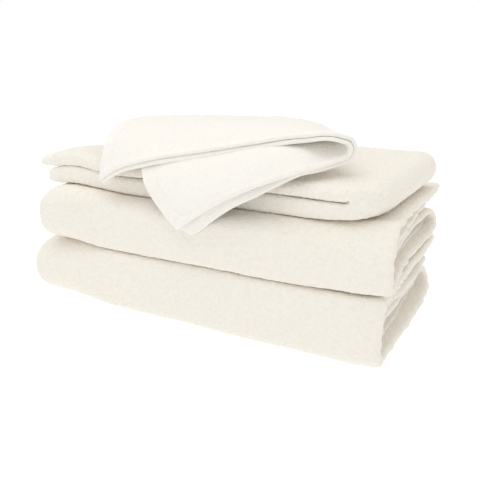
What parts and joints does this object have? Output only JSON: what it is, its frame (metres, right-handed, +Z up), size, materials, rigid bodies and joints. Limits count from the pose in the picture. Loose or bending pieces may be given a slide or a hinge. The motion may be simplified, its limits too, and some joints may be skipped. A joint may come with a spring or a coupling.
{
  "type": "bath towel set",
  "caption": "Folded terry towels in a stack: bath towels under a hand towel, with a washcloth draped loosely over the top and down the front.",
  "frame": {"origin": "on the surface the stack stands on, under the middle of its box", "axes": "+X along the stack towards the open plies, +Y from the front folds to the back, +Z up"},
  "size_m": [0.33, 0.1835, 0.166],
  "materials": {
    "towel_terry": "ivory looped cotton terry, soft and thick",
    "washcloth_terry": "ivory cotton terry with a shorter, smoother loop",
    "plain_woven_hem": "ivory plain-woven cotton, turned and stitched",
    "sewing_thread": "ivory cotton-wrapped sewing thread"
  },
  "bodies": {
    "lower_bath_towel": {"lower_bath_towel": "towel_terry", "lower_bath_towel_hem": "plain_woven_hem", "lower_bath_towel_stitching": "sewing_thread"},
    "upper_bath_towel": {"upper_bath_towel": "towel_terry", "upper_bath_towel_hem": "plain_woven_hem", "upper_bath_towel_stitching": "sewing_thread"},
    "hand_towel": {"hand_towel_lower_leaf": "towel_terry", "hand_towel_lower_leaf_hem": "plain_woven_hem", "hand_towel_lower_leaf_stitching": "sewing_thread"},
    "hand_towel_top": {"hand_towel_top_leaf": "towel_terry", "hand_towel_top_leaf_hem": "plain_woven_hem", "hand_towel_top_leaf_stitching": "sewing_thread"},
    "washcloth": {"washcloth_lower_leaf": "washcloth_terry", "washcloth_lower_leaf_hem": "plain_woven_hem", "washcloth_lower_leaf_stitching": "sewing_thread"},
    "washcloth_top": {"washcloth_top_leaf": "washcloth_terry", "washcloth_top_leaf_hem": "plain_woven_hem", "washcloth_top_leaf_stitching": "sewing_thread"}
  },
  "joints": [
    {"name": "upper_bath_towel_lift", "type": "slide", "parent": "lower_bath_towel", "child": "upper_bath_towel", "axis": [0, 0, 1], "range_m": [0, 0.25]},
    {"name": "hand_towel_lift", "type": "slide", "parent": "upper_bath_towel", "child": "hand_towel", "axis": [0, 0, 1], "range_m": [0, 0.25]},
    {"name": "hand_towel_open", "type": "hinge", "parent": "hand_towel", "child": "hand_towel_top", "pos_m": [0.16, 0.002, 0.1213], "axis": [0, 1, 0], "range_deg": [0, 90]},
    {"name": "washcloth_lift", "type": "slide", "parent": "hand_towel_top", "child": "washcloth", "axis": [0, 0, 1], "range_m": [0, 0.25]},
    {"name": "washcloth_open", "type": "hinge", "parent": "washcloth", "child": "washcloth_top", "pos_m": [0.1224, -0.0408, 0.1547], "axis": [-0.6387, 0.7667, -0.065], "range_deg": [0, 80]}
  ]
}
